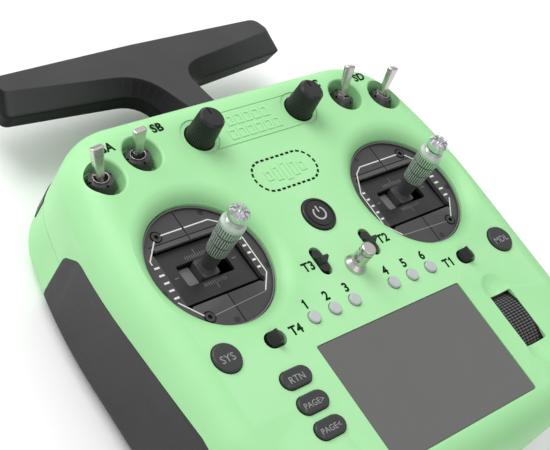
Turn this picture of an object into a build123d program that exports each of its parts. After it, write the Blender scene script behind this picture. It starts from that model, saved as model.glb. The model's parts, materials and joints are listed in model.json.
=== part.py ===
from build123d import *
import math
import os

# Handheld radio transmitter with two stick gimbals, a T antenna and a colour display.
# Millimetres. The back lies on z = 0, +Y runs up the face towards the antenna, +Z comes out of the face.

# body outline and shells
HALF_WIDTH = 94.0
HALF_HEIGHT = 87.75
TOP_FLAT = 58.0
FOOT_FLAT = 46.0
CORNER_RADIUS = 30.0
CORNER_TURN = 75.0
LOW_RADIUS = 28.0
LOW_TURN = 45.0
FACE_Z = 56.0
SEAM_Z = 26.5
SEAM_LOW = SEAM_Z - 0.15
SEAM_HIGH = SEAM_Z + 0.15
FACE_ROUND = 13.0
BACK_ROUND = 10.0
WALL = 2.5
UNDER_FACE = FACE_Z - WALL
LIP_TOP = 28.5
LIP_LOW = 22.0
LIP_DEPTH = 4.0
FIT = 0.3
RUNNING = 0.06
ABOVE = 60.0

# gimbals
GIMBAL_X = 53.2
GIMBAL_Y = 20.75
PIVOT_Z = 36.0
WELL_RADIUS = 25.9
DISH_RADIUS = 33.0
DISH_DROP = 4.5
WELL_BOSS_RADIUS = 31.5
WELL_BOSS_LOW = 48.0
PLATE_RADIUS = 25.6
PLATE_TOP = 49.5
PLATE_LOW = 47.9
PLATE_HALF_X = 18.0
PLATE_HALF_Y = 12.2
LIP_RING_TOP = 50.3
PLATE_SCREW_X = -12.5
PLATE_SCREW_YS = (17.3, -18.0)
FRAME_RADIUS = 25.4
FRAME_LOW = 20.0
YOKE_HALF_X = 17.1
YOKE_HALF_Y = 11.3
YOKE_TOP = 47.5
SLOT_HALF_X = 11.0
SLOT_HALF_Y = 4.6
SHAFT_RADIUS = 3.2
STICK_REST = 3.0
COLLAR_TOP = 48.3
BARREL_LOW = 58.3
KNURL_TOP = 72.8
BARREL_TOP = 75.4
CROWN_LOW = 76.4
STICK_TOP = 80.8

# controls: centres on the face
TOGGLES = {"a": (-74.0, 63.8), "b": (-54.0, 68.6), "c": (54.0, 68.6), "d": (74.0, 63.8)}
TOGGLE_UP = {"a": 13.0, "b": 0.0, "c": 13.0, "d": 5.0}
TOGGLE_BACK_TILT = 14.0
TOGGLE_SIDE_TILT = 12.0
TOGGLE_PIVOT = 50.5
POCKET_FLOOR = 49.0
POCKET_LOW_RADIUS = 7.0
POCKET_LIP_RADIUS = 7.7
POCKET_FLARE = 1.2
DIAL_X = 26.4
DIAL_Y = 68.45
KEY_X = 55.0
KEY_YS = {"return_key": -31.55, "page_next_key": -41.85, "page_back_key": -52.1}
PILL_KEY = (13.5, 7.1)
ROUND_KEY_X = 74.9
ROUND_KEY_Y = -15.4
ROUND_KEY_RADIUS = 5.7
POWER_Y = 22.2
POWER_RADIUS = 7.2
FUNCTION_XS = [-32.0, -21.4, -10.9, 10.9, 21.4, 32.0]
FUNCTION_Y = -14.5
FUNCTION_RADIUS = 2.5
WIDE_TRIM = (52.5, -16.0)
TALL_TRIM = (13.3, 4.5)
WIDE_TRIM_POCKET = (9.6, 6.6)
TALL_TRIM_POCKET = (12.4, 5.4)
TRIM_PIVOT_Z = 44.0
HOOK_Y = -2.0
EYE_HEIGHT = 5.0

# display
LENS_Y = -49.5
LENS_WIDTH = 78.0
LENS_HEIGHT = 49.6
LENS_THICK = 1.2
LENS_SEAT = 1.5
LENS_CORNER = 1.0

# scroll wheel
WHEEL_X = 55.35
WHEEL_Y = -47.25
WHEEL_RADIUS = 22.5
WHEEL_Z = FACE_Z + 0.3 - WHEEL_RADIUS
WHEEL_WIDTH = 11.7
WHEEL_RIBS = 120
WHEEL_WINDOW_LENGTH = 23.7
WHEEL_SCOOP_Y = 14.0
AXLE_RADIUS = 2.0

# antenna: hinge on the top edge, leaning back
HINGE_RADIUS = 6.6
ANTENNA_LEAN = 18.0
ANTENNA_THICK = 14.0
ANTENNA_EXIT_Z = 41.0
HINGE_V = -4.0
LEAN_SIN = math.sin(math.radians(ANTENNA_LEAN))
LEAN_COS = math.cos(math.radians(ANTENNA_LEAN))
HINGE_Y = HALF_HEIGHT + HINGE_V * LEAN_COS - ANTENNA_THICK / 2 * LEAN_SIN
HINGE_Z = ANTENNA_EXIT_Z - HINGE_V * LEAN_SIN - ANTENNA_THICK / 2 * LEAN_COS
NECK_HALF = 13.0
ELEMENT_POCKET = 2.3
NOTCH_HALF = 13.6
NOTCH_TOP = 43.2
NOTCH_LOW_Y = 73.8
NOTCH_FLARE_HALF = 30.0
NOTCH_FLARE_Z = 17.0

# back
BATTERY_HALF_X = 40.0
BATTERY_TOP_Y = -22.0
CELL_RADIUS = 9.25
CELL_LENGTH = 69.0
BAY_HALF_X = 24.0
BAY_LOW_Y = 8.0
BAY_TOP_Y = 52.0
SCREWS = [(33.0, 58.0), (65.0, -21.5), (68.0, -64.0)]
SHOULDER_TURN = 35.0
SHOULDER_WIDTH = 15.0
SHOULDER_LOW = 16.0
SHOULDER_TOP = 25.5
SHOULDER_OUT = 0.4
SPEAKER = (54.0, 2.0)
SPEAKER_RADIUS = 13.0
SOCKET_X = 37.0
SOCKET_Z = 10.0
JACK_RADIUS = 3.6
JACK_FRONT = HALF_HEIGHT - 0.9
JACK_DEPTH = 13.4


def block(x_low, x_high, y_low, y_high, z_low, z_high):
    centre = Pos((x_low + x_high) / 2, (y_low + y_high) / 2, (z_low + z_high) / 2)
    return centre * Box(x_high - x_low, y_high - y_low, z_high - z_low)


def rod(radius, z_low, z_high, x=0.0, y=0.0):
    return Pos(x, y, (z_low + z_high) / 2) * Cylinder(radius, z_high - z_low)


def cone(low_radius, top_radius, z_low, z_high, x=0.0, y=0.0):
    return Pos(x, y, (z_low + z_high) / 2) * Cone(low_radius, top_radius, z_high - z_low)


def rod_x(radius, x_low, x_high, y, z):
    return Pos((x_low + x_high) / 2, y, z) * Rot(0, 90, 0) * Cylinder(radius, x_high - x_low)


def rod_y(radius, y_low, y_high, x, z):
    return Pos(x, (y_low + y_high) / 2, z) * Rot(90, 0, 0) * Cylinder(radius, y_high - y_low)


def pill(width, height, z_low, z_high, x=0.0, y=0.0):
    return extrude(Pos(x, y, z_low) * SlotOverall(width, height), z_high - z_low)


def rounded_block(width, height, corner, z_low, z_high, x=0.0, y=0.0):
    return extrude(Pos(x, y, z_low) * RectangleRounded(width, height, corner), z_high - z_low)


def rounded_y(width, height, corner, y_low, y_high, x, z):
    profile = Plane.XZ * RectangleRounded(width, height, corner)
    return Pos(x, y_high, z) * extrude(profile, y_high - y_low)


def star_face(tip_radius, root_radius, teeth):
    step = 2 * math.pi / teeth
    points = []
    for i in range(teeth):
        for part, radius in ((0.0, root_radius), (0.2, tip_radius), (0.8, tip_radius)):
            angle = (i + part) * step
            points.append((radius * math.cos(angle), radius * math.sin(angle)))
    return make_face(Polyline(*points, close=True))


def body_outline(inset):
    turn = math.radians(CORNER_TURN)
    side_radius = (HALF_WIDTH - TOP_FLAT - CORNER_RADIUS * math.sin(turn)) / (1 - math.sin(turn))
    low = math.radians(LOW_TURN)
    slant_run = (HALF_WIDTH - FOOT_FLAT - LOW_RADIUS) / math.cos(low)
    side_end = -HALF_HEIGHT + LOW_RADIUS + slant_run * math.sin(low)
    with BuildSketch() as sketch:
        with BuildLine():
            top = Line((0, HALF_HEIGHT - inset), (TOP_FLAT, HALF_HEIGHT - inset))
            corner = JernArc(top @ 1, top % 1, CORNER_RADIUS - inset, -CORNER_TURN)
            side = JernArc(corner @ 1, corner % 1, side_radius - inset, CORNER_TURN - 90)
            straight = Line(side @ 1, (HALF_WIDTH - inset, side_end))
            low_corner = JernArc(straight @ 1, (0, -1), LOW_RADIUS - inset, -LOW_TURN)
            slant = Line(low_corner @ 1, low_corner @ 1 + (low_corner % 1) * slant_run)
            foot = JernArc(slant @ 1, slant % 1, LOW_RADIUS - inset, -LOW_TURN)
            Line(foot @ 1, (0, (foot @ 1).Y))
            mirror(about=Plane.YZ)
        make_face()
    return sketch.sketch


def body_solid(inset):
    low = inset
    solid = extrude(Pos(0, 0, low) * body_outline(inset), FACE_Z - 2 * inset)
    solid = fillet(solid.edges().group_by(Axis.Z)[-1], FACE_ROUND - inset)
    return fillet(solid.edges().group_by(Axis.Z)[0], BACK_ROUND - inset)


def slab(z_low, z_high):
    return block(-200, 200, -200, 200, z_low, z_high)


def dish_cutter():
    run = DISH_RADIUS - WELL_RADIUS
    turn = 2 * math.atan(DISH_DROP / run)
    radius = run / math.sin(turn)
    with BuildSketch(Plane.XZ) as sketch:
        with BuildLine():
            wall = JernArc((DISH_RADIUS, FACE_Z), (-1, 0), radius, math.degrees(turn))
            Polyline(wall @ 1, (WELL_RADIUS, 40), (0, 40), (0, ABOVE), (DISH_RADIUS, ABOVE),
                     (DISH_RADIUS, FACE_Z))
        make_face()
    return revolve(sketch.sketch, Axis.Z)


def pocket_cutter():
    lip = FACE_Z - POCKET_FLARE
    with BuildSketch(Plane.XZ) as sketch:
        with BuildLine():
            wall = Polyline((0, ABOVE), (0, POCKET_FLOOR), (POCKET_LOW_RADIUS, POCKET_FLOOR),
                            (POCKET_LIP_RADIUS, lip))
            flare = JernArc(wall @ 1, (0, 1), POCKET_FLARE, -90)
            Polyline(flare @ 1, ((flare @ 1).X, ABOVE), (0, ABOVE))
        make_face()
    return revolve(sketch.sketch, Axis.Z)


def toggle_place(name):
    x, y = TOGGLES[name]
    side = math.copysign(TOGGLE_SIDE_TILT, x)
    return Pos(x, y, TOGGLE_PIVOT) * Rot(0, side, 0) * Rot(-TOGGLE_BACK_TILT, 0, 0)


def notch(extra, z_top):
    straight = block(-NOTCH_HALF - extra, NOTCH_HALF + extra, NOTCH_LOW_Y - extra, 100, -5, z_top)
    outline = Polyline((NOTCH_HALF + extra, NOTCH_FLARE_Z + extra), (NOTCH_FLARE_HALF + extra, -1),
                       (-NOTCH_FLARE_HALF - extra, -1), (-NOTCH_HALF - extra, NOTCH_FLARE_Z + extra),
                       close=True)
    flare = extrude(Plane.XZ * make_face(outline), -(100 - NOTCH_LOW_Y + extra))
    flare = Pos(0, NOTCH_LOW_Y - extra, 0) * flare
    return straight + flare


def shoulder_place(side):
    turn = -side * SHOULDER_TURN
    return Pos(side * TOP_FLAT, HALF_HEIGHT - CORNER_RADIUS, 0) * Rot(0, 0, turn)


def shoulder_shape(side, width, inner, outer, z_low, z_high, shift=0.0):
    band = rod(outer, z_low, z_high) - rod(inner, z_low, z_high)
    band = band & block(-width / 2, width / 2, 0, 40, z_low, z_high)
    return shoulder_place(side) * Pos(0, shift, 0) * band


def screw_points():
    return [(side * x, y) for side in (-1, 1) for x, y in SCREWS]


def grip_region(side, grow):
    points = [(50.7, 0), (50.7, 31), (43.5, 38.7), (-34.0, 45.6), (-52.0, 44.0), (-66.0, 30.0),
              (-70.0, 14.0), (-70.0, 0)]
    face = make_face(Polyline(*points, close=True))
    outer_corners = face.vertices().filter_by(lambda v: v.Y > 5)
    face = fillet(outer_corners, 6.0)
    if grow:
        face = offset(face, grow)
    prism = extrude(Plane.YZ * face, 40)
    prism = Pos(64, 0, 0) * prism
    inner_edge = block(76 - grow, 276, -150, 150, -BACK_ROUND, BACK_ROUND)
    upper = slab(BACK_ROUND, FACE_Z)
    prism = (prism & upper) + (prism & inner_edge)
    return prism if side > 0 else mirror(prism, Plane.YZ)


OUTER = body_solid(0)
INNER = body_solid(WALL)
GRIP_FLOOR = body_solid(1.5)
HOLLOW = OUTER - INNER


def stadium_groove(width, height, y, depth=0.35, line=0.55):
    outer = pill(width, height, FACE_Z - depth, FACE_Z + 1, 0, y)
    return outer - pill(width - 2 * line, height - 2 * line, FACE_Z - depth, FACE_Z + 1, 0, y)


def front_shell():
    shell = HOLLOW & slab(SEAM_HIGH, 100)
    added = []
    for side in (-1, 1):
        added.append(rod(WELL_BOSS_RADIUS, WELL_BOSS_LOW, FACE_Z, side * GIMBAL_X, GIMBAL_Y))
    for x, y in TOGGLES.values():
        added.append(rod(11.0, 46.5, FACE_Z, x, y))
    for x, y in screw_points():
        added.append(rod(3.5, SEAM_HIGH, UNDER_FACE + 1, x, y))
    added.append(block(47.0, 64.0, -69.0, -26.0, 51.4, FACE_Z))
    for x in (46.9, 63.8):
        for y in (-4.2, 4.2):
            added.append(block(x - 1.6, x + 1.6, WHEEL_Y + y - 0.8, WHEEL_Y + y + 0.8, WHEEL_Z - 4, FACE_Z))
    added.append(notch(2.0, NOTCH_TOP + 2.0) & slab(SEAM_HIGH, 100))
    added.append(block(-22, 22, HINGE_Y - 5, HALF_HEIGHT, HINGE_Z - 6, HINGE_Z + 6))
    for piece in added:
        shell = shell + (piece & OUTER)
    cuts = [notch(0.0, NOTCH_TOP)]
    for side in (-1, 1):
        cuts.append(Pos(side * GIMBAL_X, GIMBAL_Y, 0) * dish_cutter())
        cuts.append(rod(6.4, 40, ABOVE, side * DIAL_X, DIAL_Y))
        cuts.append(rod(8.3, FACE_Z - 0.5, ABOVE, side * DIAL_X, DIAL_Y))
        cuts.append(rod(ROUND_KEY_RADIUS + FIT, 40, ABOVE, side * ROUND_KEY_X, ROUND_KEY_Y))
        cuts.append(pill(*WIDE_TRIM_POCKET, 40, ABOVE, side * WIDE_TRIM[0], WIDE_TRIM[1]))
        tall_pocket = Rot(0, 0, 90) * pill(*TALL_TRIM_POCKET, 40, ABOVE)
        cuts.append(Pos(side * TALL_TRIM[0], TALL_TRIM[1], 0) * tall_pocket)
        cuts.append(grip_region(side, 0.25) - GRIP_FLOOR)
    for x, y in TOGGLES.values():
        cuts.append(Pos(x, y, 0) * pocket_cutter())
    for name in TOGGLES:
        cuts.append(toggle_place(name) * rod(3.05, -10, 4))
        cuts.append(toggle_place(name) * rod(6.5, -0.5, 5))
    cuts.append(rod_x(WHEEL_RADIUS + 0.5, WHEEL_X - 6.2, WHEEL_X + 6.2, WHEEL_Y, WHEEL_Z))
    for x in FUNCTION_XS:
        cuts.append(rod(FUNCTION_RADIUS + 0.25, 40, ABOVE, x, FUNCTION_Y))
    for y in KEY_YS.values():
        cuts.append(pill(PILL_KEY[0] + 2 * FIT, PILL_KEY[1] + 2 * FIT, 40, ABOVE, -KEY_X, y))
    cuts.append(rod(POWER_RADIUS + FIT, 40, ABOVE, 0, POWER_Y))
    seat = FACE_Z - LENS_SEAT
    cuts.append(rounded_block(LENS_WIDTH + 0.5, LENS_HEIGHT + 0.5, LENS_CORNER, seat, ABOVE, 0, LENS_Y))
    cuts.append(rounded_block(LENS_WIDTH - 4, LENS_HEIGHT - 4, 1.5, 40, ABOVE, 0, LENS_Y))
    cuts.append(rounded_block(WHEEL_WIDTH + 0.8, WHEEL_WINDOW_LENGTH, 0.6, 40, ABOVE, WHEEL_X, WHEEL_Y))
    for y in (-WHEEL_SCOOP_Y, WHEEL_SCOOP_Y):
        cuts.append(Pos(WHEEL_X, WHEEL_Y + y, FACE_Z + 16.4) * Sphere(17.8))
    cuts.append(rod(1.6, 40, ABOVE, 0, HOOK_Y))
    cuts.append(rod_x(AXLE_RADIUS, -20, 20, HINGE_Y, HINGE_Z))
    cuts.append(stadium_groove(66, 15.5, 68.5))
    for x, y in screw_points():
        cuts.append(rod(1.3, SEAM_Z, 48, x, y))
    for piece in cuts:
        shell = shell - piece
    return shell


def rear_shell():
    shell = HOLLOW & slab(-1, SEAM_LOW)
    lip_inside = body_outline(LIP_DEPTH)
    lip_low = extrude(Pos(0, 0, LIP_LOW) * (body_outline(2.0) - lip_inside), SEAM_LOW - LIP_LOW)
    lip_high = extrude(Pos(0, 0, SEAM_LOW) * (body_outline(WALL + 0.15) - lip_inside), LIP_TOP - SEAM_LOW)
    shell = shell + lip_low + lip_high
    added = []
    battery = block(-BATTERY_HALF_X - 2, BATTERY_HALF_X + 2, -80.0, BATTERY_TOP_Y + 2, 1, 23.0)
    added.append(battery)
    bay = block(-BAY_HALF_X - 2, BAY_HALF_X + 2, BAY_LOW_Y - 2, BAY_TOP_Y + 2, 1, 23.0)
    added.append(bay)
    added.append(notch(2.0, SEAM_LOW))
    for x, y in screw_points():
        added.append(rod(4.6, 0, SEAM_LOW, x, y))
    for side in (-1, 1):
        housing = Pos(side * SOCKET_X, 79, SOCKET_Z) * Box(16, 18, 12)
        added.append(housing)
    for piece in added:
        shell = shell + (piece & OUTER)
    cuts = [notch(0.0, 60)]
    cuts.append(notch(2.35, 60) & slab(SEAM_LOW, 60))
    cuts.append(block(-22.4, 22.4, HINGE_Y - 5.4, HALF_HEIGHT, SEAM_LOW, 60))
    inside = BATTERY_HALF_X - 0.5
    cuts.append(block(-inside, inside, -78.4, BATTERY_TOP_Y - 0.5, 2.7, 21.5))
    cuts.append(block(-BATTERY_HALF_X - FIT, BATTERY_HALF_X + FIT, -100, BATTERY_TOP_Y + FIT, -1, 2.7))
    cuts.append(block(-BATTERY_HALF_X - FIT, BATTERY_HALF_X + FIT, -100, -80.3, 2.6, 12.3))
    cuts.append(block(-BAY_HALF_X + 1, BAY_HALF_X - 1, BAY_LOW_Y + 1, BAY_TOP_Y - 1, -1, 21.5))
    cuts.append(block(-BAY_HALF_X - FIT, BAY_HALF_X + FIT, BAY_LOW_Y - FIT, BAY_TOP_Y + FIT, -1, 2.6))
    for x, y in screw_points():
        cuts.append(rod(3.3, -1, 3.4, x, y))
        cuts.append(rod(1.7, -1, 40, x, y))
        cuts.append(rod(3.8, SEAM_LOW, 40, x, y))
    for i in range(5):
        cuts.append(pill(18.0, 1.8, -1, 3, SPEAKER[0], SPEAKER[1] + (i - 2) * 4.0))
    for side in (-1, 1):
        cuts.append(shoulder_shape(side, SHOULDER_WIDTH + 2 * FIT, 20, 40, SHOULDER_LOW - FIT,
                                   SHOULDER_TOP + FIT))
        cuts.append(shoulder_shape(side, SHOULDER_WIDTH + 4.0, 18, CORNER_RADIUS - WALL,
                                   SHOULDER_LOW - 2, SHOULDER_TOP + 2))
        cuts.append(grip_region(side, 0.25) - GRIP_FLOOR)
    cuts.append(rounded_y(9.3, 3.5, 1.7, 73.6, 100, SOCKET_X, SOCKET_Z))
    cuts.append(rod_y(JACK_RADIUS + 0.1, 72.6, 100, -SOCKET_X, SOCKET_Z))
    for piece in cuts:
        shell = shell - piece
    return shell


def grip(side):
    return (grip_region(side, 0) & OUTER) - GRIP_FLOOR


def battery_door():
    reach = BATTERY_HALF_X
    plate = (OUTER - body_solid(2.2)) & block(-reach, reach, -100, BATTERY_TOP_Y, 0, 12.0)
    door = plate & slab(FIT, 12.0)
    for i in range(5):
        door = door - pill(24, 1.2, 0, FIT + 0.6, 0, -66.0 - 2.6 * i)
    return door


def module_bay_cover():
    middle_y = (BAY_LOW_Y + BAY_TOP_Y) / 2
    cover = rounded_block(2 * BAY_HALF_X, BAY_TOP_Y - BAY_LOW_Y, 1.0, FIT, 2.5, 0, middle_y)
    for side in (-1, 1):
        cover = cover - pill(12, 2.4, 0, 1.3, side * 14, BAY_LOW_Y + 5)
    return cover


def eased(corners):
    # each corner (u, v, reach) is replaced by a curve that starts and ends reach away from it
    points = [corners[0][:2]]
    for before, corner, after in zip(corners, corners[1:], corners[2:]):
        middle = Vector(*corner[:2])
        start = middle + (Vector(*before[:2]) - middle).normalized() * corner[2]
        end = middle + (Vector(*after[:2]) - middle).normalized() * corner[2]
        for i in range(EASE_STEPS + 1):
            t = i / EASE_STEPS
            point = start * (1 - t) ** 2 + middle * (2 * t * (1 - t)) + end * t ** 2
            points.append((point.X, point.Y))
    return points + [corners[-1][:2]]


def antenna_section(corners, depth):
    half = eased(corners)
    other = [(-u, v) for u, v in reversed(half[:-1])]
    return Pos(0, 0, depth) * make_face(Polyline(*half, *other, close=True))


EASE_STEPS = 6
ANTENNA_FRONT = [(6.0, -2.0), (9.3, 30.9, 14.0), (70.3, 40.3, 3.0), (70.3, 50.4, 4.0), (0.0, 51.6)]
ANTENNA_MIDDLE = [(NECK_HALF, -2.0), (NECK_HALF, 27.3, 10.5), (73.0, 32.7, 3.5), (73.0, 52.1, 4.5),
                  (0.0, 53.2)]
ANTENNA_BACK = [(11.0, -2.0), (11.0, 29.5, 10.5), (71.4, 36.2, 3.0), (71.4, 50.0, 4.0), (0.0, 50.8)]


def antenna_frame():
    # local u runs along X, local v up the antenna, local n out of its front face
    origin = (0, HALF_HEIGHT, ANTENNA_EXIT_Z)
    return Location(Plane(origin=origin, x_dir=(1, 0, 0), z_dir=(0, LEAN_SIN, LEAN_COS)))


def antenna_half(front):
    middle = -ANTENNA_THICK / 2
    edge = ANTENNA_FRONT if front else ANTENNA_BACK
    depth = 0.0 if front else -ANTENNA_THICK
    shape = loft([antenna_section(ANTENNA_MIDDLE, middle), antenna_section(edge, depth)], ruled=True)
    barrel = rod_x(HINGE_RADIUS, -NECK_HALF, NECK_HALF, HINGE_V, middle)
    keep = block(-100, 100, -20, 60, middle, 20) if front else block(-100, 100, -20, 60, -40, middle)
    shape = shape + (barrel & keep)
    reach = ELEMENT_POCKET
    pocket = block(-64.4, 64.4, 37.6, 47.4, middle - reach, middle + reach)
    pocket = pocket + block(-3.4, 3.4, 6.6, 40, middle - reach, middle + reach)
    pocket = pocket + rod_x(AXLE_RADIUS + RUNNING, -20, 20, HINGE_V, middle)
    return antenna_frame() * (shape - (pocket & keep))


def antenna_element():
    middle = -ANTENNA_THICK / 2
    bar = block(-64, 64, 38, 47, middle - 0.8, middle + 0.8)
    stem = block(-3, 3, 7, 38, middle - 0.8, middle + 0.8)
    return antenna_frame() * (bar + stem)


def display_lens():
    low = FACE_Z - LENS_SEAT
    return rounded_block(LENS_WIDTH, LENS_HEIGHT, LENS_CORNER, low, low + LENS_THICK, 0, LENS_Y)


def display_module():
    screen = rounded_block(LENS_WIDTH - 5, LENS_HEIGHT - 5, 1.0, UNDER_FACE - 4, UNDER_FACE + 0.7, 0, LENS_Y)
    return screen + block(-38, 38, LENS_Y - 23.8, LENS_Y + 23.8, 48.8, 52.9)


def keypad_board():
    board = block(-84, 84, -55, -9.5, 45.4, 47.0) - block(-43, 43, -60, -20, 40, 50)
    for side in (-1, 1):
        board = board - block(side * WIDE_TRIM[0] - 8, side * WIDE_TRIM[0] + 8, -23, -5, 40, 50)
        board = board - rod(4.2, 40, 50, side * SCREWS[1][0], SCREWS[1][1])
    return board - block(44.6, 66.4, -70, -25, 40, 50)


def gimbal_place(side):
    return Pos(side * GIMBAL_X, GIMBAL_Y, 0)


def ring_plate():
    plate = rod(PLATE_RADIUS, PLATE_LOW, PLATE_TOP)
    window = block(-PLATE_HALF_X, PLATE_HALF_X, -PLATE_HALF_Y, PLATE_HALF_Y, 40, 60)
    window = fillet(window.edges().filter_by(Axis.Z), 1.5)
    plate = plate - window
    rim = rod(PLATE_RADIUS, PLATE_TOP, LIP_RING_TOP) - rod(PLATE_RADIUS - 0.7, PLATE_TOP, LIP_RING_TOP)
    plate = plate + rim
    for x in (-PLATE_HALF_X, PLATE_HALF_X):
        for y in (-PLATE_HALF_Y, PLATE_HALF_Y):
            plate = plate - rod(1.4, 40, ABOVE, x * 0.965, y * 0.95)
    for y in PLATE_SCREW_YS:
        plate = plate - rod(2.5, PLATE_TOP - 1.1, ABOVE, PLATE_SCREW_X, y)
        plate = plate - rod(1.1, 40, ABOVE, PLATE_SCREW_X, y)
    cut = PLATE_TOP - 0.5
    plate = plate - block(-0.25, 0.25, PLATE_HALF_Y - 1, 24.5, cut, ABOVE)
    plate = plate - block(-0.25, 0.25, -24.5, -PLATE_HALF_Y + 1, cut, ABOVE)
    return plate - block(-PLATE_HALF_X, PLATE_HALF_X, PLATE_HALF_Y + 1.8, PLATE_HALF_Y + 2.2, cut, ABOVE)


def gimbal_frame():
    frame = rod(FRAME_RADIUS, FRAME_LOW, PLATE_LOW)
    frame = frame - block(-18.7, 18.7, -17.2, 17.2, FRAME_LOW + 2.0, 60)
    frame = frame - rod(9.0, 0, 60)
    for y in PLATE_SCREW_YS:
        frame = frame - rod(1.0, PLATE_LOW - 7.5, ABOVE, PLATE_SCREW_X, y)
    return frame - rod_x(2.2 + RUNNING, -22.6, 22.6, 0, PIVOT_Z)


def gimbal_yoke():
    yoke = block(-YOKE_HALF_X, YOKE_HALF_X, -YOKE_HALF_Y, YOKE_HALF_Y, YOKE_TOP - 1.5, YOKE_TOP)
    ring = block(-YOKE_HALF_X, YOKE_HALF_X, -11, 11, 33.0, YOKE_TOP - 1)
    ring = ring - block(-16, 16, -9, 9, 30, 60)
    yoke = yoke - rounded_block(2 * SLOT_HALF_X, 2 * SLOT_HALF_Y, 1.0, 40, 60)
    yoke = yoke + ring
    yoke = yoke + rod_x(2.2, -22.3, -17, 0, PIVOT_Z) + rod_x(2.2, 17, 22.3, 0, PIVOT_Z)
    return yoke - rod_y(1.8 + RUNNING, -12, 12, 0, PIVOT_Z)


def stick_cradle():
    hub = block(-6.5, 6.5, -8.3, 8.3, 31.5, 40.2)
    hub = fillet(hub.edges().filter_by(Axis.Y), 2.0)
    pivots = rod_y(1.8, -10.8, 10.8, 0, PIVOT_Z)
    collar = rounded_block(8.0, 8.0, 1.2, 40, COLLAR_TOP)
    foot = cone(3.6, 2.9, COLLAR_TOP, COLLAR_TOP + 1.6)
    shaft = cone(2.9, 3.5, COLLAR_TOP + 1.6, BARREL_LOW)
    spindle = rod(1.9, BARREL_LOW - 1, CROWN_LOW + 2)
    return hub + pivots + collar + foot + shaft + spindle


def stick_barrel():
    low = Pos(0, 0, BARREL_LOW) * star_face(4.15, 3.85, 30)
    high = Pos(0, 0, KNURL_TOP) * star_face(4.9, 4.6, 30)
    barrel = loft([low, high], ruled=True)
    barrel = barrel + rod(4.9, KNURL_TOP, KNURL_TOP + 1.2)
    barrel = barrel + cone(4.9, 4.2, KNURL_TOP + 1.2, BARREL_TOP)
    for z, core in ((63.2, 3.95), (68.3, 4.2)):
        barrel = barrel - (rod(7, z, z + 0.7) - rod(core, z, z + 0.7))
    return barrel - rod(1.95, 50, 80)


def stick_crown():
    crown = rod(3.3, BARREL_TOP, CROWN_LOW)
    crown = crown + cone(3.7, 3.95, CROWN_LOW, CROWN_LOW + 1.0) + rod(3.95, CROWN_LOW + 1.0, STICK_TOP - 1.2)
    crown = crown + cone(3.95, 3.2, STICK_TOP - 1.2, STICK_TOP)
    for i in range(4):
        slit = block(-6, 6, -0.5, 0.5, STICK_TOP - 1.5, STICK_TOP + 1)
        crown = crown - Rot(0, 0, 45 * i) * slit
    crown = crown - cone(1.0, 1.9, STICK_TOP - 2.2, STICK_TOP + 0.01)
    return crown - rod(1.95, 70, CROWN_LOW + 2.1)


def plate_screws():
    screws = []
    for side in (-1, 1):
        for y in PLATE_SCREW_YS:
            head = rod(1.9, PLATE_TOP - 1.1, PLATE_TOP + 0.2) + rod(0.95, PLATE_LOW - 7, PLATE_TOP - 1)
            socket = extrude(Pos(0, 0, PLATE_TOP - 0.8) * RegularPolygon(1.0, 6), 3)
            screws.append(gimbal_place(side) * Pos(-side * PLATE_SCREW_X, y, 0) * (head - socket))
    return Compound(children=screws)


def case_screws():
    screws = []
    for x, y in screw_points():
        screw = rod(3.0, 0.7, 3.3) + rod(1.25, 3, 42)
        screws.append(Pos(x, y, 0) * (screw - rod(1.3, 0, 2.2)))
    return Compound(children=screws)


def toggle_bodies():
    bodies = []
    for name in TOGGLES:
        case = block(-6.4, 6.4, -4.0, 4.0, -16.0, -7.6) + rod(2.98, -7.7, 4.2)
        case = case - rod(2.45, -2.2, 10) - cone(2.4, 2.75, 3.0, 4.21)
        bodies.append(toggle_place(name) * case)
    return Compound(children=bodies)


def dress_nuts():
    nuts = []
    for name in TOGGLES:
        nut = cone(6.2, 4.6, -0.4, 3.5) - rod(3.05, -5, 8)
        for i in range(4):
            nut = nut - Rot(0, 0, 90 * i) * block(3.9, 7, -0.5, 0.5, 2.7, 5)
        nuts.append(toggle_place(name) * nut)
    return Compound(children=nuts)


def toggle_lever(name):
    reach = 16.4
    low = Pos(0, 0, 0) * RectangleRounded(2.9, 1.9, 0.6)
    high = Pos(0, 0, reach) * RectangleRounded(5.4, 2.7, 0.9)
    lever = loft([low, high]) + Sphere(1.7) + rod_x(0.7, -2.3, 2.3, 0, 0)
    lever = fillet(lever.edges().group_by(Axis.Z)[-1], 0.6)
    return toggle_place(name) * Rot(-TOGGLE_UP[name], 0, 0) * lever


def dial_knob(side):
    low = Pos(0, 0, 53.8) * star_face(6.0, 5.7, 40)
    high = Pos(0, 0, 67.2) * star_face(5.2, 4.95, 40)
    knob = loft([low, high], ruled=True) + cone(4.95, 4.2, 67.2, 68.2)
    knob = knob + rod(3.0, 49.4, 54)
    knob = knob - block(-0.35, 0.35, 1.2, 6, 67.7, 70)
    return Pos(side * DIAL_X, DIAL_Y, 0) * knob


def dial_pots():
    pots = [Pos(side * DIAL_X, DIAL_Y, 45.6) * Box(11.5, 11.5, 7.0) for side in (-1, 1)]
    return Compound(children=pots)


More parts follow.
